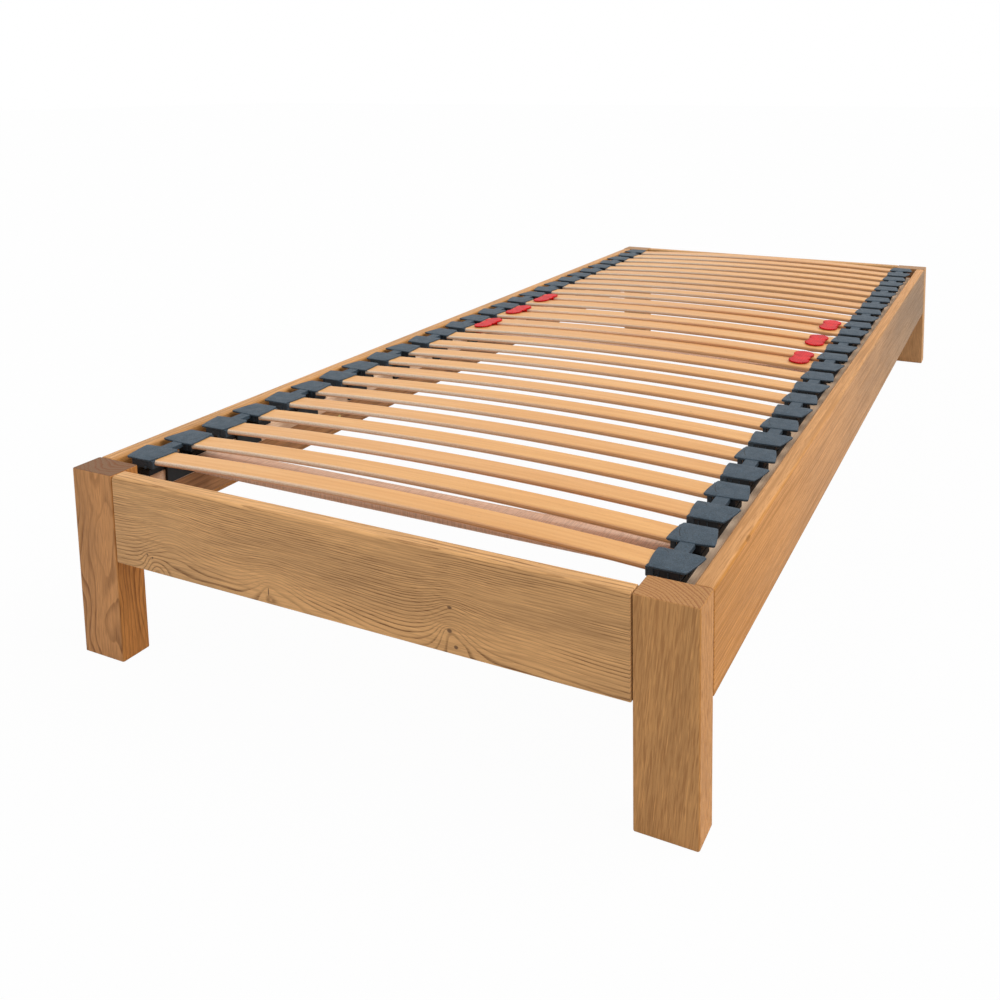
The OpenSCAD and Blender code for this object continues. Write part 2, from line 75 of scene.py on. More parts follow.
class Shader:
    """A Principled material and the few words that build its nodes."""

    def __init__(self, name):
        self.mat = bpy.data.materials.new(name)
        self.mat.use_nodes = True
        self.tree = self.mat.node_tree
        self.tree.nodes.clear()
        self.bsdf = self.node("ShaderNodeBsdfPrincipled")
        self.out = self.node("ShaderNodeOutputMaterial")
        self.tree.links.new(self.bsdf.outputs[0], self.out.inputs[0])

    def node(self, kind, **props):
        node = self.tree.nodes.new(kind)
        for key, value in props.items():
            setattr(node, key, value)
        return node

    def feed(self, socket, value):
        if isinstance(value, bpy.types.NodeSocket):
            self.tree.links.new(value, socket)
        elif value is not None:
            socket.default_value = value

    def set(self, **values):
        for key, value in values.items():
            self.feed(self.bsdf.inputs[key.replace("_", " ")], value)

    def math(self, operation, a, b=None, c=None):
        node = self.node("ShaderNodeMath", operation=operation)
        for socket, value in zip(node.inputs, (a, b, c)):
            self.feed(socket, value)
        return node.outputs[0]

    def add(self, a, b):
        return self.math("ADD", a, b)

    def sub(self, a, b):
        return self.math("SUBTRACT", a, b)

    def mul(self, a, b):
        return self.math("MULTIPLY", a, b)

    def coords(self):
        return self.node("ShaderNodeTexCoord").outputs["Object"]

    def split(self, vector):
        node = self.node("ShaderNodeSeparateXYZ")
        self.feed(node.inputs[0], vector)
        return list(node.outputs)

    def join(self, x, y, z):
        node = self.node("ShaderNodeCombineXYZ")
        for socket, value in zip(node.inputs, (x, y, z)):
            self.feed(socket, value)
        return node.outputs[0]

    def stretch(self, vector, scale, offset=(0, 0, 0)):
        node = self.node("ShaderNodeMapping")
        self.feed(node.inputs["Vector"], vector)
        node.inputs["Scale"].default_value = scale
        node.inputs["Location"].default_value = offset
        return node.outputs[0]

    def noise(self, vector, scale=1.0, detail=2.0, rough=0.5, twist=0.0):
        node = self.node("ShaderNodeTexNoise")
        self.feed(node.inputs["Vector"], vector)
        node.inputs["Scale"].default_value = scale
        node.inputs["Detail"].default_value = detail
        node.inputs["Roughness"].default_value = rough
        node.inputs["Distortion"].default_value = twist
        return node.outputs[0]

    def cells(self, vector, scale, feature="F1"):
        node = self.node("ShaderNodeTexVoronoi", feature=feature)
        self.feed(node.inputs["Vector"], vector)
        node.inputs["Scale"].default_value = scale
        return node.outputs[0]

    def span(self, value, low, high, to_low=0.0, to_high=1.0, smooth=True):
        """value from low to high, mapped to to_low to to_high and held there outside."""
        node = self.node("ShaderNodeMapRange", interpolation_type="SMOOTHSTEP" if smooth else "LINEAR")
        for socket, v in zip(node.inputs, (value, low, high, to_low, to_high)):
            self.feed(socket, v)
        return node.outputs[0]

    def mix(self, factor, a, b, blend="MIX"):
        node = self.node("ShaderNodeMix", data_type="RGBA", blend_type=blend)
        self.feed(node.inputs[0], factor)
        self.feed(node.inputs[6], a)
        self.feed(node.inputs[7], b)
        return node.outputs[2]

    def bump(self, height, distance, strength=1.0):
        node = self.node("ShaderNodeBump")
        self.feed(node.inputs["Height"], height)
        node.inputs["Distance"].default_value = distance
        node.inputs["Strength"].default_value = strength
        self.set(Normal=node.outputs[0])

    def attribute(self, name):
        return self.node("ShaderNodeAttribute", attribute_name=name).outputs["Fac"]


# ---------------------------------------------------------------- materials

def tinted(colour, factor):
    """The colour scaled in brightness, as an on-screen value."""
    return rgb(*[min(255, c * factor) for c in colour])


# Colours multiplied onto faces towards +X: painted warm light, and painted shade where the light falls off along
# a rail.
PAINTED_WARM_LIGHT = (0.90, 0.76, 0.42, 1)
PAINTED_FAR_SHADE = (0.50, 0.58, 0.72, 1)


def oak(name, along, pith, seed, light=(208, 160, 110), dark=(134, 91, 54), ring=0.0024, lean=0.0,
        wander=(0.008, 2.2, 9), ripple=0.0010, lines=0.7, dashes=0.4, flecks=(9, 330), pales=0.45,
        tip_tone=0.86, painted_light_tints=(), gloss=0.3, marks=()):
    """Solid oak. along is the axis of the grain, and pith the heart's place on the other two axes, in order.
    wander is how far the rings stray, and how often along and across the grain. flecks is how often the dashes
    come along and across it.
    lines, dashes and pales are strengths.
    The tint entries colour the face towards +X with painted warm light or painted shade, each (colour, place
    along, strength there, second place, strength there).
    marks are (place along, place across, spread along, spread across, lift, spot), and a spot is
    (half length, half height, strength)."""
    s = Shader(name)
    axes = s.split(s.coords())
    a = axes[along]
    b, c = [axes[i] for i in (X, Y, Z) if i != along]
    b = s.sub(b, s.mul(a, lean))
    laid = [b, c]
    laid.insert(along, a)
    laid = s.join(*laid)

    def grain(run, cross, detail=1, rough=0.5, other=0.0):
        pull = tuple(run if i == along else cross for i in (X, Y, Z))
        shift = (3.7 * seed + other, 6.1 * seed, 2.3 * seed - other)
        return s.noise(s.stretch(laid, pull, shift), detail=detail, rough=rough)

    depth, run, cross = wander
    u, v = s.sub(b, pith[0]), s.sub(c, pith[1])
    heart = s.math("SQRT", s.add(s.mul(u, u), s.mul(v, v)))
    heart = s.add(heart, s.mul(s.sub(grain(run, cross), 0.5), 2 * depth))
    heart = s.add(heart, s.mul(s.sub(grain(16, 75, other=9.0), 0.5), 2 * ripple))
    spots = 0.0
    for at_a, at_c, wide_a, wide_c, lift, spot in marks:
        da, dc = s.sub(a, at_a), s.sub(c, at_c)
        near = s.add(s.math("POWER", s.mul(da, 1 / wide_a), 2.0),
                     s.math("POWER", s.mul(dc, 1 / wide_c), 2.0))
        heart = s.add(heart, s.mul(s.math("EXPONENT", s.mul(near, -1.0)), lift))
        if spot:
            long, tall, strength = spot
            edge = s.add(s.math("POWER", s.mul(da, 1 / long), 2.0),
                         s.math("POWER", s.mul(dc, 1 / tall), 2.0))
            spots = s.math("MAXIMUM", spots, s.span(edge, 1.6, 0.3, 0.0, strength))
    rings = s.add(s.mul(heart, 1 / ring), s.mul(s.noise(heart, scale=90, detail=0), 1.2))
    phase = s.math("FRACT", rings)
    early = s.math("MAXIMUM", s.span(phase, 0.46, 0.04), s.span(phase, 0.90, 1.0))
    fine = s.span(grain(34, 760, detail=2, rough=0.6, other=2.0), 0.47, 0.66)
    dash = s.span(grain(*flecks, other=5.0), 0.48, 0.70)
    pale = s.span(grain(1.4 * flecks[0], 1.3 * flecks[1], other=7.0), 0.52, 0.72)
    cloud = grain(3.0, 15, detail=3, other=1.0)
    vary = s.span(grain(5, 34, other=4.0), 0.32, 0.68, 0.40, 1.0)

    body = s.mix(s.span(cloud, 0.3, 0.72), rgb(*light), tinted(light, 0.88))
    body = s.mix(s.mul(pale, pales), body, tinted(light, 1.10))
    shade = s.mul(s.mul(early, vary), s.add(0.7 * lines, s.mul(fine, 0.5 * lines)))
    shade = s.math("MAXIMUM", shade, s.mul(dash, dashes))
    shade = s.math("MAXIMUM", shade, s.mul(fine, dashes * 0.8))
    wood = s.mix(shade, body, rgb(*dark))
    if marks:
        wood = s.mix(spots, wood, rgb(72, 42, 26))
    normal = s.split(s.node("ShaderNodeTexCoord").outputs["Normal"])
    # Painted light and shade: each entry multiplies its colour onto the faces towards +X, stronger or weaker
    # along the grain.
    for colour, start, first, stop, last in painted_light_tints:
        painted_light_share = s.mul(s.span(normal[X], 0.4, 0.9), s.span(a, start, stop, first, last))
        wood = s.mix(painted_light_share, wood, colour, blend="MULTIPLY")
    tip = s.span(s.math("ABSOLUTE", normal[along]), 0.55, 0.85)
    dots = s.span(s.noise(laid, scale=620, detail=1), 0.50, 0.66)
    bands = s.add(s.mul(early, 0.62), s.mul(dots, 0.30))
    cut = s.mix(bands, tinted(light, tip_tone), rgb(dark[0] * 0.98, dark[1] * 0.88, dark[2] * 0.86))
    wood = s.mix(tip, wood, cut)
    s.set(Base_Color=wood, Roughness=s.add(0.46, s.mul(shade, 0.2)), Specular_IOR_Level=gloss)
    s.bump(s.mul(shade, -1.0), 0.0004, 0.6)
    return s.mat


def beech(name, along, light, dark, seed=1, ribs=0.0):
    """Planed beech: fine streaks along the grain, short rays, and saw lines across it as strong as ribs."""
    s = Shader(name)
    p = s.coords()

    def grain(run, cross, detail=1, rough=0.5, other=0.0):
        pull = tuple(run if i == along else cross for i in (X, Y, Z))
        shift = (4.1 * seed + other, 1.7 * seed, 2.9 * seed)
        return s.noise(s.stretch(p, pull, shift), detail=detail, rough=rough)

    streak = grain(4, 230, detail=3, rough=0.6)
    cloud = grain(3, 12, detail=2, other=3.0)
    rays = s.span(grain(200, 800, other=6.0), 0.55, 0.70)
    wood = s.mix(s.span(streak, 0.32, 0.7), rgb(*light), rgb(*dark))
    wood = s.mix(s.mul(s.span(cloud, 0.35, 0.75), 0.3), wood, tinted(dark, 0.93))
    wood = s.mix(s.mul(rays, 0.20), wood, tinted(dark, 0.70))
    if ribs:
        lines = s.span(grain(620, 46, detail=1, other=8.0), 0.45, 0.62)
        wood = s.mix(s.mul(lines, ribs), wood, tinted(dark, 0.72))
    s.set(Base_Color=wood, Roughness=s.span(streak, 0.3, 0.7, 0.46, 0.58), Specular_IOR_Level=0.35)
    s.bump(s.sub(s.mul(streak, 0.6), s.mul(rays, 0.5)), 0.00025, 0.5)
    return s.mat


def ply(name, light, dark, seed=1):
    """Laminated beech slat. The mesh gives edge, ply (height in the section), reach (place along) and tone."""
    s = Shader(name)
    p = s.coords()

    def grain(run, cross, detail=1, rough=0.5, other=0.0):
        return s.noise(s.stretch(p, (run, cross, cross), (5.3 * seed + other, 2.1 * seed, 3.3 * seed)),
                       detail=detail, rough=rough)

    streak = grain(3.2, 210, detail=3, rough=0.55)
    band = grain(2.2, 42, detail=1, other=4.0)
    rays = s.span(grain(170, 900, other=2.0), 0.58, 0.72)
    pit = s.cells(s.stretch(p, (7, 21, 21), (0.3, 0.2, 0.1)), 1.0)
    pit = s.span(pit, 0.030, 0.014)
    face = s.mix(s.span(streak, 0.3, 0.7), rgb(*light), rgb(*dark))
    face = s.mix(s.mul(s.span(band, 0.35, 0.7), 0.25), face, tinted(dark, 0.95))
    face = s.mix(s.mul(s.attribute("tone"), 0.30), face, rgb(214, 152, 98))
    face = s.mix(s.mul(rays, 0.16), face, tinted(dark, 0.72))
    face = s.mix(s.mul(pit, 0.7), face, rgb(120, 70, 36))
    height = s.attribute("ply")
    glue = s.math("MAXIMUM", s.span(s.math("ABSOLUTE", s.sub(height, 0.36)), 0.11, 0.03),
                  s.mul(s.span(s.math("ABSOLUTE", s.sub(height, 0.68)), 0.08, 0.02), 0.5))
    # Painted light on the slats' rounded long edges: a painted highlight on the upper half, painted lighter at
    # the left end and darker at the right end. The dark glue line is real, but it is painted stronger towards
    # the right.
    reach = s.span(s.attribute("reach"), 0.18, 0.80)
    specks = s.span(grain(420, 700, detail=1, other=7.0), 0.46, 0.62)
    edge_painted_highlight = s.mix(s.span(height, 0.15, 0.60), rgb(240, 176, 126), rgb(255, 240, 220))
    side = s.mix(reach, edge_painted_highlight, rgb(228, 170, 116))
    side = s.mix(s.mul(specks, 0.34), side, rgb(222, 168, 128))
    side = s.mix(s.mul(glue, s.add(0.10, s.mul(reach, 0.42))), side, rgb(140, 88, 50))
    wood = s.mix(s.mul(s.attribute("edge"), 0.92), face, side)
    s.set(Base_Color=wood, Roughness=s.span(streak, 0.3, 0.7, 0.36, 0.46), Specular_IOR_Level=0.45)
    s.bump(s.sub(s.mul(streak, 0.5), s.mul(rays, 0.4)), 0.0002, 0.5)
    return s.mat


def rubber(name, colour):
    """The caps' elastomer: a fine leathery skin, pale scratches, and one moulded groove on each plate, darkened
    with painted shade.
    The mesh gives plan (place on the plate), far (1 on the lobe nearer the head) and the painted shade value
    (how strongly painted shade darkens the part)."""
    s = Shader(name)
    p = s.coords()
    skin = s.cells(p, 900)
    cloud = s.noise(p, scale=70, detail=3)
    mottle = s.noise(p, scale=520, detail=2)
    hair = s.noise(s.stretch(p, (60, 90, 60)), detail=2, twist=0.6)
    hair = s.mul(s.span(s.math("ABSOLUTE", s.sub(hair, 0.5)), 0.010, 0.003), s.span(cloud, 0.45, 0.6))
    across, run, _ = s.split(s.node("ShaderNodeUVMap", uv_map="plan").outputs[0])
    far = s.attribute("far")

    def stroke(start, end, bow):
        """A bowed line on the plate between two places, both given in units of the plan."""
        dx, dy = end[0] - start[0], end[1] - start[1]
        long = math.hypot(dx, dy)
        px, py = s.sub(across, start[0]), s.sub(run, start[1])
        t = s.mul(s.add(s.mul(px, dx), s.mul(py, dy)), 1 / long ** 2)
        off = s.mul(s.sub(s.mul(px, dy), s.mul(py, dx)), 1 / long)
        off = s.sub(off, s.mul(s.mul(t, s.sub(1.0, t)), 4 * bow))
        inside = s.mul(s.span(t, 0.0, 0.06), s.span(t, 1.0, 0.94))
        return s.mul(inside, s.span(s.math("ABSOLUTE", off), 0.018, 0.006))

    groove = s.add(s.mul(stroke((0.08, 0.07), (0.30, 0.22), 0.03), s.sub(1.0, far)),
                   s.mul(stroke((0.14, 0.56), (0.27, 0.16), 0.03), far))
    skinned = s.mix(s.span(cloud, 0.3, 0.7), rgb(*colour), tinted(colour, 0.90))
    skinned = s.mix(s.span(mottle, 0.40, 0.60, 0.0, 0.6), skinned, tinted(colour, 0.60))
    skinned = s.mix(s.span(skin, 0.55, 0.75, 0.0, 0.35), skinned, tinted(colour, 1.5))
    skinned = s.mix(s.mul(hair, 0.45), skinned, tinted(colour, 1.6))
    # The groove is darkened as painted shade in its crease.
    skinned = s.mix(s.mul(groove, 0.85), skinned, rgb(26, 32, 38))
    # Painted shade: the parts under the plates are darkened towards near black, as strongly as the mesh asks.
    skinned = s.mix(s.attribute("painted_shade"), skinned, rgb(30, 33, 37))
    s.set(Base_Color=skinned, Roughness=s.span(cloud, 0.3, 0.7, 0.52, 0.64), Specular_IOR_Level=0.4)
    s.bump(s.sub(s.mul(skin, 0.5), s.mul(groove, 2.0)), 0.0004, 0.5)
    return s.mat


def moulded(name, colour, rough, dimples=0.0):
    """Moulded plastic with a fine texture, and a grid of small pits, dimples apart, where that is set, each pit
    darkened as painted shade.
    """
    s = Shader(name)
    p = s.coords()
    skin = s.noise(p, scale=1400, detail=1)
    cloud = s.noise(p, scale=45, detail=2)
    tint = s.mix(s.span(cloud, 0.3, 0.7), rgb(*colour), tinted(colour, 0.86))
    height = s.mul(skin, 0.3)
    if dimples:
        x, y, _ = s.split(s.stretch(p, (1 / dimples, 1 / dimples, 1)))
        dx, dy = s.sub(s.math("FRACT", x), 0.5), s.sub(s.math("FRACT", y), 0.5)
        rim = s.span(s.math("SQRT", s.add(s.mul(dx, dx), s.mul(dy, dy))), 0.12, 0.24)
        # Painted shade: the pits are darkened towards their middles.
        tint = s.mix(s.mul(s.sub(1.0, rim), 0.5), tint, tinted(colour, 0.55))
        height = s.add(height, rim)
    s.set(Base_Color=tint, Roughness=s.span(skin, 0.3, 0.7, rough - 0.05, rough + 0.07), Specular_IOR_Level=0.3)
    s.bump(height, 0.0003, 0.6)
    return s.mat


def metal(name, colour, rough):
    s = Shader(name)
    p = s.coords()
    brushed = s.noise(s.stretch(p, (300, 300, 2500)), detail=2)
    stain = s.noise(p, scale=160, detail=3)
    tint = s.mix(s.span(stain, 0.35, 0.75), rgb(*colour), tinted(colour, 0.78))
    s.set(Base_Color=tint, Metallic=1.0, Roughness=s.span(brushed, 0.3, 0.7, rough, rough + 0.14))
    s.bump(brushed, 0.0001, 0.4)
    return s.mat


# ---------------------------------------------------------------- mesh words

SHARP_ANGLE = 38


def rounded(w, h, radii, steps=5):
    """A w by h rectangle round the origin, counter-clockwise from lower left, each corner with its radius."""
    points = []
    corners = ((-1, -1, 180), (1, -1, 270), (1, 1, 0), (-1, 1, 90))
    for (sx, sy, start), r in zip(corners, radii):
        for i in range(steps + 1):
            t = math.radians(start + 90 * i / steps)
            points.append((sx * (w / 2 - r) + r * math.cos(t), sy * (h / 2 - r) + r * math.sin(t)))
    return points


def loft(bm, rings):
    """Closed skin through rings of as many points each."""
    loops = [[bm.verts.new(p) for p in ring] for ring in rings]
    for low, high in zip(loops, loops[1:]):
        for i in range(len(low)):
            j = (i + 1) % len(low)
            bm.faces.new((low[i], low[j], high[j], high[i]))
    bm.faces.new(loops[0][::-1])
    bm.faces.new(loops[-1])
    return loops


def block(bm, lo, hi, along, radii, end, steps=5):
    """A box with rounded long edges, whose two ends are eased by the radius end."""
    u, v = [i for i in (X, Y, Z) if i != along]
    mid = [(lo[i] + hi[i]) / 2 for i in range(3)]
    w, h = hi[u] - lo[u], hi[v] - lo[v]
    rings = []
    turns = [i / 4 * math.pi / 2 for i in range(5)]
    stations = [(lo[along] + end * (1 - math.cos(t)), end * (1 - math.sin(t))) for t in turns]
    stations += [(lo[along] + hi[along] - s, inset) for s, inset in reversed(stations)]
    for s, inset in stations:
        ring = []
        for pu, pv in rounded(w - 2 * inset, h - 2 * inset, [max(r - inset, 0.0002) for r in radii], steps):
            p = [0, 0, 0]
            p[along], p[u], p[v] = s, mid[u] + pu, mid[v] + pv
            ring.append(p)
        rings.append(ring)
    return loft(bm, rings)


def tube(bm, start, end, radius, ease=0.0003, sides=24):
    """A round bar from start to end with eased rims."""
    axis = (Vector(end) - Vector(start)).normalized()
    one = axis.orthogonal().normalized()
    two = axis.cross(one)
    rings = []
    for point, r in ((Vector(start), radius - ease), (Vector(start) + axis * ease, radius),
                     (Vector(end) - axis * ease, radius), (Vector(end), radius - ease)):
        rings.append([point + r * (math.cos(t) * one + math.sin(t) * two)
                      for t in (2 * math.pi * i / sides for i in range(sides))])
    return loft(bm, rings)


def piece(name, bm, materials, body, stands_for=()):
    """Makes an object of the mesh, that rides body and stands for the CAD nodes given."""
    bmesh.ops.recalc_face_normals(bm, faces=bm.faces)
    mesh = bpy.data.meshes.new(name)
    bm.to_mesh(mesh)
    bm.free()
    for material in materials:
        mesh.materials.append(material)
    mesh.polygons.foreach_set("use_smooth", [True] * len(mesh.polygons))
    mesh.set_sharp_from_angle(angle=math.radians(SHARP_ANGLE))
    obj = bpy.data.objects.new(name, mesh)
    bpy.context.scene.collection.objects.link(obj)
    normals = obj.modifiers.new("normals", "WEIGHTED_NORMAL")
    normals.keep_sharp = True
    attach(obj, body)
    if stands_for:
        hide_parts(*stands_for)
    return obj


def paint(node, material):
    """Gives a CAD node that stays in view its material."""
    obj = frame["nodes"][node]
    obj.data.materials.clear()
    obj.data.materials.append(material)


# ---------------------------------------------------------------- legs and rails

def timber(name, node, along, material, radii, end):
    lo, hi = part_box(node)
    bm = bmesh.new()
    block(bm, lo, hi, along, radii, end)
    return piece(name, bm, [material], "frame", (node,))


def box_of(node):
    lo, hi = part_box(node)
    return Vector(lo), Vector(hi), Vector(hi) - Vector(lo)


LEG_EDGES = [0.003] * 4
RAIL_EDGES = (0.002, 0.002, 0.005, 0.005)

leg_looks = {
    "leg_foot_right": dict(light=(216, 158, 97), dark=(146, 95, 52), ring=0.0046, lean=0.10, lines=0.40,
                           wander=(0.006, 4, 16), ripple=0.0008, dashes=0.55, flecks=(30, 450), tip_tone=0.86),
    "leg_foot_left": dict(light=(218, 154, 94), dark=(124, 78, 42), ring=0.0062, lean=0.02, lines=0.85,
                          wander=(0.022, 7, 13), ripple=0.0022, dashes=0.3, flecks=(40, 420), pales=0.25,
                          tip_tone=0.56),
    "leg_head_right": dict(ring=0.0034, lean=0.05, lines=0.5, flecks=(34, 420)),
    "leg_head_left": dict(ring=0.0030, lean=-0.06, lines=0.5, flecks=(34, 420)),
}
for seed, (node, look) in enumerate(leg_looks.items(), 3):
    lo, hi, size = box_of(node)
    if node == "leg_foot_left":
        pith = (lo.x + size.x * 0.6, hi.y + 0.06)
    elif node == "leg_foot_right":
        pith = (lo.x - 0.05, lo.y - 0.07)
    else:
        pith = (lo.x - 0.018 if hi.x > 0 else hi.x + 0.03, hi.y + 0.03)
    # Faces towards +X get painted warm light.
    leg_oak = oak("oak_" + node, Z, pith, seed, painted_light_tints=[(PAINTED_WARM_LIGHT, 0.0, 0.7, 0.3, 0.7)], gloss=0.2, **look)
    timber(node + "_wood", node, Z, leg_oak, LEG_EDGES, 0.0014)

lo, hi, size = box_of("foot_rail")


def at(fx, fz):
    return lo.x + size.x * fx, lo.z + size.z * fz


marks = [
    (*at(0.134, 0.46), 0.046, 0.044, -0.011, None),
    (*at(0.210, 0.34), 0.070, 0.040, -0.004, None),
    (*at(0.100, 0.00), 0.020, 0.024, -0.009, None),
    (*at(0.078, 0.19), 0.010, 0.009, -0.002, (0.0020, 0.0014, 0.8)),
    (*at(0.090, 0.17), 0.010, 0.012, -0.001, (0.0016, 0.0016, 0.8)),
    (*at(0.362, 0.26), 0.046, 0.036, -0.009, None),
    (*at(0.440, 0.16), 0.080, 0.040, -0.005, None),
    (*at(0.353, 0.135), 0.012, 0.020, -0.002, (0.0009, 0.0056, 0.85)),
    (*at(0.715, 0.38), 0.042, 0.052, -0.010, None),
    (*at(0.795, 0.28), 0.080, 0.050, -0.005, None),
    (*at(0.706, 0.462), 0.016, 0.010, -0.003, (0.0034, 0.0018, 0.8)),
    (*at(0.705, 0.230), 0.016, 0.012, -0.005, (0.0036, 0.0026, 0.8)),
    (*at(0.716, 0.082), 0.022, 0.018, -0.004, (0.0030, 0.0024, 0.8)),
]
foot_oak = oak("oak_foot_rail", X, (lo.y + 0.10, lo.z - 0.03), seed=3, light=(234, 178, 116),
               dark=(126, 84, 46), ring=0.0026, wander=(0.006, 2.2, 7), ripple=0.0009, lines=0.95,
               dashes=0.32, marks=marks)
timber("foot_rail_wood", "foot_rail", X, foot_oak, RAIL_EDGES, 0.002)

lo, hi, size = box_of("head_rail")
head_oak = oak("oak_head_rail", X, (lo.y - 0.10, lo.z - 0.04), seed=5, light=(228, 174, 114),
               dark=(130, 86, 48), ring=0.0028)
timber("head_rail_wood", "head_rail", X, head_oak, RAIL_EDGES, 0.002)

lo, hi, size = box_of("right_rail")
knot = (lo.y + size.y * 0.068, hi.z - 0.003, 0.030, 0.012, 0.0015, (0.009, 0.0024, 0.4))
# The outer face gets painted warm light at the foot end and painted shade towards the head end.
side_oak = oak("oak_right_rail", Y, (lo.x - 0.05, lo.z - 0.06), seed=7, light=(220, 162, 106),
               dark=(146, 98, 54), ring=0.0046, ripple=0.0006, lines=0.45, dashes=0.45, flecks=(3.5, 230),
               painted_light_tints=[(PAINTED_WARM_LIGHT, lo.y, 1.0, lo.y + 0.9, 0.1), (PAINTED_FAR_SHADE, lo.y + 0.5, 0.0, hi.y - 0.2, 1.0)],
               gloss=0.1, marks=[knot])
timber("right_rail_wood", "right_rail", Y, side_oak, RAIL_EDGES, 0.002)

lo, hi, size = box_of("left_rail")
# Faces towards +X get painted warm light.
left_oak = oak("oak_left_rail", Y, (hi.x + 0.05, lo.z - 0.06), seed=9, light=(222, 164, 102),
               dark=(140, 92, 50), painted_light_tints=[(PAINTED_WARM_LIGHT, lo.y, 0.4, hi.y, 0.4)])
timber("left_rail_wood", "left_rail", Y, left_oak, RAIL_EDGES, 0.002)

# ---------------------------------------------------------------- slatted base's frame

ledge = oak("oak_ledge", Y, (0, 0.17), seed=11, light=(190, 136, 86), dark=(104, 68, 40))
for node in ("left_ledge", "right_ledge"):
    paint(node, ledge)
# Pale beech, painted paler still as painted light: the bars and crossbars sit in the shade of rails and slats
# and are coloured as if lit.
bars = beech("beech_bars", Y, (252, 222, 192), (234, 194, 158), seed=2)
rungs = beech("beech_crossbars", X, (248, 216, 192), (230, 190, 162), seed=3, ribs=0.3)
for node in ("left_side_bar", "right_side_bar"):
    paint(node, bars)
for node in ("foot_crossbar", "middle_crossbar", "head_crossbar", "frame_dowels"):
    paint(node, rungs)
black = moulded("black_plastic", (22, 22, 23), 0.60)
# Painted highlight: the holders' bosses are light grey in place of the gloss reflection on their black rims.
boss_highlight_paint = moulded("painted_highlight_grey", (104, 114, 122), 0.40)
for node in ("left_cap_holders", "right_cap_holders"):
    paint(node, black)
zinc = metal("zinc_steel", (190, 194, 198), 0.28)
for node in ("pivot_pins", "rail_hook_plates", "leg_slot_plates"):
    paint(node, zinc)
screw = metal("yellow_zinc", (206, 184, 120), 0.26)
for node in ("plate_screws", "ledge_screws"):
    paint(node, screw)

# ---------------------------------------------------------------- slats

slat_wood = ply("beech_slats", (236, 177, 106), (225, 163, 95), seed=4)
SLAT_T = 0.008
SLAT_W = 0.038
SLAT_ROUND = 0.003
SLAT_LAYERS = ("edge", "ply", "reach", "tone")


def slat(bm, lo, hi, tone):
    """One arched slat in the box lo to hi, whose section is a rounded strip."""
    layers = [bm.verts.layers.float.get(key) for key in SLAT_LAYERS]
    half = hi[X]
    middle = hi[Z] - SLAT_T / 2
    rise = middle - (lo[Z] + SLAT_T / 2)
    radius = (half ** 2 + rise ** 2) / (2 * rise)
    sweep = math.asin(half / radius)
    centre_y, width = (lo[Y] + hi[Y]) / 2, hi[Y] - lo[Y]
    section = rounded(width, SLAT_T, [SLAT_ROUND] * 4, steps=4)
    stations = 36
    rings = []
    for i in range(stations + 1):
        turn = sweep * (2 * i / stations - 1)
        rings.append([(math.sin(turn) * (radius + v), centre_y + u,
                       middle - radius + math.cos(turn) * (radius + v)) for u, v in section])
    for i, ring in enumerate(loft(bm, rings)):
        for vert, (u, v) in zip(ring, section):
            side = max(0.0, (abs(u) - (width / 2 - SLAT_ROUND)) / SLAT_ROUND)
            for layer, value in zip(layers, (side, v / SLAT_T + 0.5, i / stations, tone)):
                vert[layer] = value


def slat_mesh():
    bm = bmesh.new()
    for key in SLAT_LAYERS:
        bm.verts.layers.float.new(key)
    return bm


for pair in PAIRS:
    lo, hi, size = box_of("slats_" + pair)
    bm = slat_mesh()
    slat(bm, lo, (hi.x, lo.y + SLAT_W, hi.z), rng.random())
    slat(bm, (lo.x, hi.y - SLAT_W, lo.z), hi, rng.random())
    piece("slats_wood_" + pair, bm, [slat_wood], "pair_" + pair, ("slats_" + pair,))
for pair in ZONE:
    lo, hi, size = box_of("third_slat_" + pair)
    bm = slat_mesh()
    slat(bm, lo, hi, 1.0)
    piece("third_slat_wood_" + pair, bm, [slat_wood], "pair_" + pair, ("third_slat_" + pair,))

# ---------------------------------------------------------------- caps

cap_skin = rubber("cap_rubber", (56, 71, 83))
LOBE_W, LOBE_L = 0.063, 0.050
PLAN_UNIT = 0.0625
SOCKET_W, SOCKET_INSET = 0.043, 0.002
SOCKET_TOP = 0.003
TOWER_FROM = 0.013
RIB_W, RIB_TOP = 0.0012, 0.0065
STUD_X, STUD_R = 0.017, 0.0020
PIN_DROP, SOCKET_DROP = 0.0195, 0.0150
BRIDGE_IN, BRIDGE_OUT, BRIDGE_LAP = 0.019, 0.039, 0.004
KNUCKLE_IN, KNUCKLE_OUT, KNUCKLE_R = 0.023, 0.035, 0.005
CLIP_IN, CLIP_OUT, CLIP_R, CLIP_T = 0.0405, 0.0425, 0.0085, 0.0009


def bowed(a, b, bow, count):
    """Points from a to b along a shallow curve that stands bow off the straight line, to its right."""
    a, b = Vector(a), Vector(b)
    off = Vector(((b - a).y, -(b - a).x)).normalized() * bow
    return [a.lerp(b, t) + off * 4 * t * (1 - t) for t in (0.03 + 0.94 * i / count for i in range(count + 1))]


def lobe_outline():
    """A lobe from above: x from its inner to its outer side, y from the bridge outwards."""
    inner, tip = (0.0010, 0.0014), (LOBE_W, 0.0045)
    shoulder, corner = (LOBE_W - 0.0105, LOBE_L), (0.0066, LOBE_L)
    return (bowed(inner, tip, 0.0012, 10) + bowed(tip, shoulder, 0.0012, 8)
            + bowed(shoulder, corner, 0.0002, 8) + bowed(corner, inner, 0.0020, 10))


OUTLINE = lobe_outline()
CENTRE = sum(OUTLINE, Vector((0, 0))) / len(OUTLINE)


def paint_shade(bm, before, painted_shade):
    """Paints shade onto the vertices that were added since before, as strong as the value given."""
    layer = bm.verts.layers.float.get("painted_shade")
    for vert in list(bm.verts)[before:]:
        vert[layer] = painted_shade


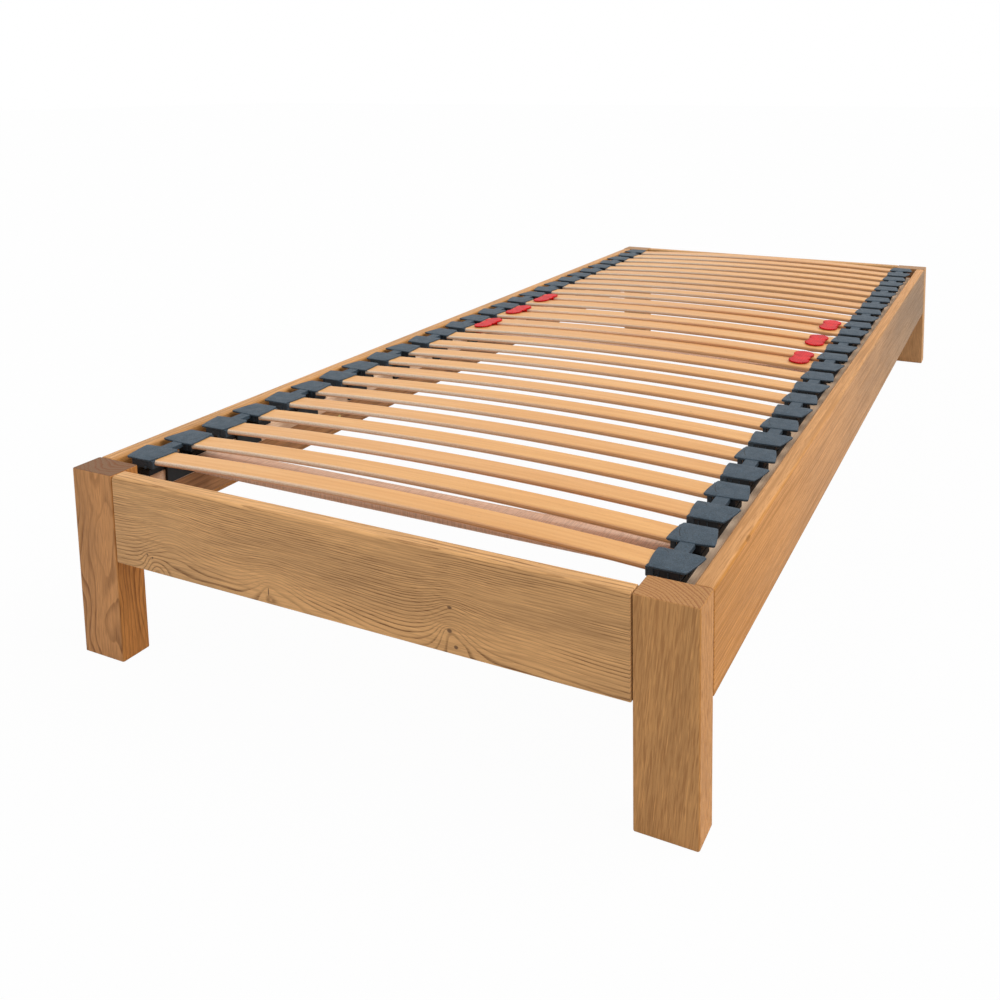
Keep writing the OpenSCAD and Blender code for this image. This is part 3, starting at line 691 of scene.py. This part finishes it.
def box_between(bm, a, b, along, radius, end, painted_shade=0.0):
    """A rounded block between two opposite corners, given in any order."""
    before = len(bm.verts)
    lo, hi = [min(p) for p in zip(a, b)], [max(p) for p in zip(a, b)]
    block(bm, lo, hi, along, [radius] * 4, end, steps=3)
    paint_shade(bm, before, painted_shade)


def lobe(bm, plan, side, run, near_x, near_y, top, low):
    """One lobe of a cap: the crowned plate and the socket under it, near_x, near_y its inner corner."""
    def ring(inset, z):
        points = []
        for p in OUTLINE:
            out = p - CENTRE
            q = CENTRE + out * (1 - inset / out.length)
            points.append((side * (near_x + q.x), near_y + run * q.y, z))
        return points

    def spot(x, y, z):
        return side * (near_x + x), near_y + run * y, z

    far = bm.verts.layers.float.get("far")
    plate = [(0.0040, top - 0.0046), (0.0008, top - 0.0036), (0.0, top - 0.0028), (0.0, top - 0.0012),
             (0.0006, top - 0.0006), (0.004, top - 0.0003), (0.014, top)]
    for loop in loft(bm, [ring(inset, z) for inset, z in plate]):
        for vert in loop:
            vert[far] = 1.0 if run > 0 else 0.0
            for corner in vert.link_loops:
                corner[plan].uv = ((abs(vert.co.x) - near_x) / PLAN_UNIT, run * (vert.co.y - near_y) / PLAN_UNIT)
    wall = LOBE_L - SOCKET_INSET
    split = LOBE_L * 0.55
    # The socket walls under the plate get painted shade, the half nearer the bridge more strongly.
    for y0, y1, x0, shade in ((SOCKET_INSET + 0.003, split, 0.003, 0.85),
                              (split - 0.001, wall, 0.0, 0.25)):
        box_between(bm, spot(SOCKET_INSET + x0, y0, low), spot(TOWER_FROM, y1, top - SOCKET_TOP),
                    Z, 0.0012, 0.0006, shade)
    # The tower gets painted shade: strong on the right caps and light on the left, so mirrored copies of one
    # part are shaded differently. The ribs keep the plain colour and read lighter.
    box_between(bm, spot(TOWER_FROM, SOCKET_INSET + 0.0035, low),
                spot(SOCKET_INSET + SOCKET_W, wall - 0.0006 * (side > 0), top - SOCKET_TOP),
                Z, 0.0012, 0.0006, 0.88 if side > 0 else 0.3)
    if side > 0:
        for x in (TOWER_FROM + 0.005, TOWER_FROM + 0.017):
            box_between(bm, spot(x, wall - 0.001, low + 0.0004),
                        spot(x + RIB_W, wall + 0.0004, top - RIB_TOP), Z, 0.0003, 0.0002)
    before = len(bm.verts)
    tube(bm, spot(STUD_X, wall - 0.001, low + 0.0010), spot(STUD_X, wall + 0.0014, low + 0.0010),
         STUD_R, sides=16)
    paint_shade(bm, before, 0.0)


def clip(bm, x0, x1, y, z, radius):
    """The small curved rib beside the bridge, half round the pin at y, z."""
    rings = []
    for i in range(11):
        t = math.radians(15 + 15 * i)
        out = Vector((0, math.cos(t), math.sin(t)))
        mid = Vector((0, y, z))
        rings.append([mid + out * r + Vector((x, 0, 0)) for x, r in
                      ((x0, radius - CLIP_T), (x1, radius - CLIP_T), (x1, radius), (x0, radius))])
    loft(bm, rings)


for pair in PAIRS:
    lo, hi, size = box_of("caps_" + pair)
    middle = (lo.y + hi.y) / 2
    gap = size.y / 2 - LOBE_L
    pin = hi.z - PIN_DROP
    low = hi.z - SOCKET_DROP
    bm = bmesh.new()
    plan = bm.loops.layers.uv.new("plan")
    for key in ("painted_shade", "far"):
        bm.verts.layers.float.new(key)
    near_x = hi.x - LOBE_W
    for side in (-1, 1):
        for run in (-1, 1):
            lobe(bm, plan, side, run, near_x, middle + run * gap, hi.z, low)
        box_between(bm, (side * (near_x + BRIDGE_IN), middle - gap - BRIDGE_LAP, hi.z - 0.0085),
                    (side * (near_x + BRIDGE_OUT), middle + gap + BRIDGE_LAP, hi.z - 0.0015), Y, 0.001, 0.0005)
        knuckle_in, knuckle_out = side * (near_x + KNUCKLE_IN), side * (near_x + KNUCKLE_OUT)
        # The knuckle block gets half painted shade.
        box_between(bm, (knuckle_in, middle - 0.0035, pin), (knuckle_out, middle + 0.0035, hi.z - 0.005),
                    Z, 0.0008, 0.0004, 0.5)
        tube(bm, (knuckle_in, middle, pin), (knuckle_out, middle, pin), KNUCKLE_R)
        clip(bm, side * (near_x + CLIP_IN), side * (near_x + CLIP_OUT), middle, pin + 0.002, CLIP_R)
    piece("caps_rubber_" + pair, bm, [cap_skin], "pair_" + pair, ("caps_" + pair,))

# ---------------------------------------------------------------- holders' bosses

BOSS_SIDES = 32
BOSS_DROP = 0.0225
BOSS_AT = 0.012

for side in ("left", "right"):
    lo, hi, size = box_of(side + "_cap_holders")
    inward = hi.x if side == "left" else lo.x
    step = 1 if side == "left" else -1
    bm = bmesh.new()
    for pair in PAIRS:
        c_lo, c_hi, _ = box_of("caps_" + pair)
        middle = (c_lo.y + c_hi.y) / 2
        for y, r in ((middle - BOSS_AT, 0.0085), (middle + BOSS_AT, 0.0060)):
            hub = Vector((inward - step * 0.0010, y, hi.z - BOSS_DROP))
            rings = []
            for i in range(BOSS_SIDES + 1):
                t = 2 * math.pi * i / BOSS_SIDES
                out = Vector((0, math.cos(t), math.sin(t)))
                rings.append([hub + out * (r + dr) + Vector((step * dx, 0, 0)) for dr, dx in
                              ((0.0, -0.0004), (0.0012, -0.0004), (0.0012, 0.0005), (0.0009, 0.0009),
                               (0.0003, 0.0009), (0.0, 0.0005))])
            loft(bm, rings)
    # The bosses take the light grey painted highlight.
    piece(f"holder_bosses_{side}", bm, [boss_highlight_paint], "frame")

# ---------------------------------------------------------------- sliders

red = moulded("red_plastic", (224, 16, 26), 0.50, dimples=0.0052)
DISC_R, DISC_AT = 0.0204, 0.0228
TOOTH = 0.0019
GRIP = SLAT_T / 2 + 0.0012
PLATE = 0.003
WEB_IN, WEB_OUT, WEB_X, WEB_LOW = 0.0129, 0.0155, 0.0148, 0.0132
WAIST = 0.0172
TEETH = 28


def disc(bm, place, y, z0, z1):
    """A flat disc with a toothed rim and an eased top edge, from z0 to z1 in the slider's own frame."""
    rings = []
    for inset, z in ((0.0006, z0), (0.0, z0 + 0.0005), (0.0, z1 - 0.0008), (0.0006, z1 - 0.0002), (0.003, z1)):
        ring = []
        for i in range(TEETH * 6):
            t = 2 * math.pi * i / (TEETH * 6)
            r = DISC_R - inset - TOOTH * (0.5 - 0.5 * math.cos(t * TEETH)) ** 2
            ring.append(place @ Vector((r * math.cos(t), y + r * math.sin(t), z)))
        rings.append(ring)
    loft(bm, rings)


for joint in frame["joints"]:
    if not joint["child"].startswith("sliding_"):
        continue
    label = joint["child"][len("sliding_"):]
    run_way = Vector(joint["axis"])
    place = Matrix.Translation(joint["pos_m"]) @ run_way.to_track_quat("X", "Z").to_matrix().to_4x4()
    bm = bmesh.new()
    for y in (-DISC_AT, DISC_AT):
        disc(bm, place, y, GRIP, GRIP + PLATE)
        disc(bm, place, y, -GRIP - PLATE, -GRIP)
    before = len(bm.verts)
    block(bm, (-WAIST, -WAIST / 2, GRIP), (WAIST, WAIST / 2, GRIP + PLATE - 0.0002), Y, [0.0006] * 4, 0.0004)
    block(bm, (-WEB_X, -WEB_OUT, -WEB_LOW), (WEB_X, WEB_OUT, -WEB_LOW + PLATE), Y, [0.0006] * 4, 0.0004)
    for y in (-1, 1):
        y0, y1 = sorted((y * WEB_IN, y * WEB_OUT))
        block(bm, (-WEB_X, y0, -WEB_LOW + 0.001), (WEB_X, y1, GRIP + 0.001), X, [0.0005] * 4, 0.0004)
        y0, y1 = sorted((y * WEB_IN, y * DISC_AT))
        block(bm, (-WEB_X, y0, -GRIP - PLATE), (WEB_X, y1, -GRIP), X, [0.0005] * 4, 0.0004)
    for vert in list(bm.verts)[before:]:
        vert.co = place @ vert.co
    piece(f"slider_red_{label}", bm, [red], joint["child"], ("slider_" + label,))

# ---------------------------------------------------------------- studio

def stage_plane():
    bm = bmesh.new()
    bmesh.ops.create_grid(bm, x_segments=1, y_segments=1, size=30)
    mesh = bpy.data.meshes.new("floor")
    bm.to_mesh(mesh)
    bm.free()
    obj = bpy.data.objects.new("floor", mesh)
    bpy.context.scene.collection.objects.link(obj)
    s = Shader("floor_white")
    s.tree.nodes.remove(s.bsdf)
    matt = s.node("ShaderNodeBsdfDiffuse")
    matt.inputs[0].default_value = (0.70, 0.70, 0.70, 1)
    glow = s.node("ShaderNodeEmission")
    ray = s.node("ShaderNodeLightPath")
    seen = s.math("MAXIMUM", ray.outputs["Is Camera Ray"],
                  s.math("MAXIMUM", ray.outputs["Is Glossy Ray"], ray.outputs["Is Transmission Ray"]))
    both = s.node("ShaderNodeMixShader")
    s.feed(both.inputs[0], s.mul(seen, 0.97))
    s.feed(both.inputs[1], matt.outputs[0])
    s.feed(both.inputs[2], glow.outputs[0])
    s.tree.links.new(both.outputs[0], s.out.inputs[0])
    obj.data.materials.append(s.mat)


def world():
    """A pale sky, which mirrors and the camera see as plain white."""
    sky = bpy.data.worlds.new("studio")
    sky.use_nodes = True
    tree = sky.node_tree
    tree.nodes.clear()

    def node(kind):
        return tree.nodes.new(kind)

    plain, white = node("ShaderNodeBackground"), node("ShaderNodeBackground")
    for background, strength in ((plain, 0.42), (white, 1.0)):
        background.inputs["Color"].default_value = (1, 1, 1, 1)
        background.inputs["Strength"].default_value = strength
    ray = node("ShaderNodeLightPath")
    seen = ray.outputs["Is Camera Ray"]
    for kind in ("Is Transmission Ray", "Is Glossy Ray"):
        most = node("ShaderNodeMath")
        most.operation = "MAXIMUM"
        tree.links.new(seen, most.inputs[0])
        tree.links.new(ray.outputs[kind], most.inputs[1])
        seen = most.outputs[0]
    both, out = node("ShaderNodeMixShader"), node("ShaderNodeOutputWorld")
    tree.links.new(seen, both.inputs[0])
    tree.links.new(plain.outputs[0], both.inputs[1])
    tree.links.new(white.outputs[0], both.inputs[2])
    tree.links.new(both.outputs[0], out.inputs[0])
    bpy.context.scene.world = sky


def sun(name, toward, strength, angle):
    """A soft distant lamp that shines from the direction toward."""
    lamp = bpy.data.lights.new(name, "SUN")
    lamp.energy = strength
    lamp.angle = math.radians(angle)
    obj = bpy.data.objects.new(name, lamp)
    obj.rotation_euler = Vector(toward).to_track_quat("Z", "Y").to_euler()
    bpy.context.scene.collection.objects.link(obj)


stage_plane()
world()
sun("key", (0.62, 0.22, 0.75), 2.2, 50)
sun("fill", (-0.5, -0.6, 0.62), 0.45, 70)

scene = bpy.context.scene
scene.view_settings.view_transform = "Standard"
lens = bpy.data.cameras.new("camera")
lens.sensor_width = 36
lens.lens = 34.93
lens.shift_x = -0.12
lens.shift_y = -0.30
camera = bpy.data.objects.new("camera", lens)
camera.location = (0.7997, -1.9574, 0.8426)
camera.rotation_euler = [math.radians(a) for a in (83.020, 0.268, 23.743)]
scene.collection.objects.link(camera)
scene.camera = camera
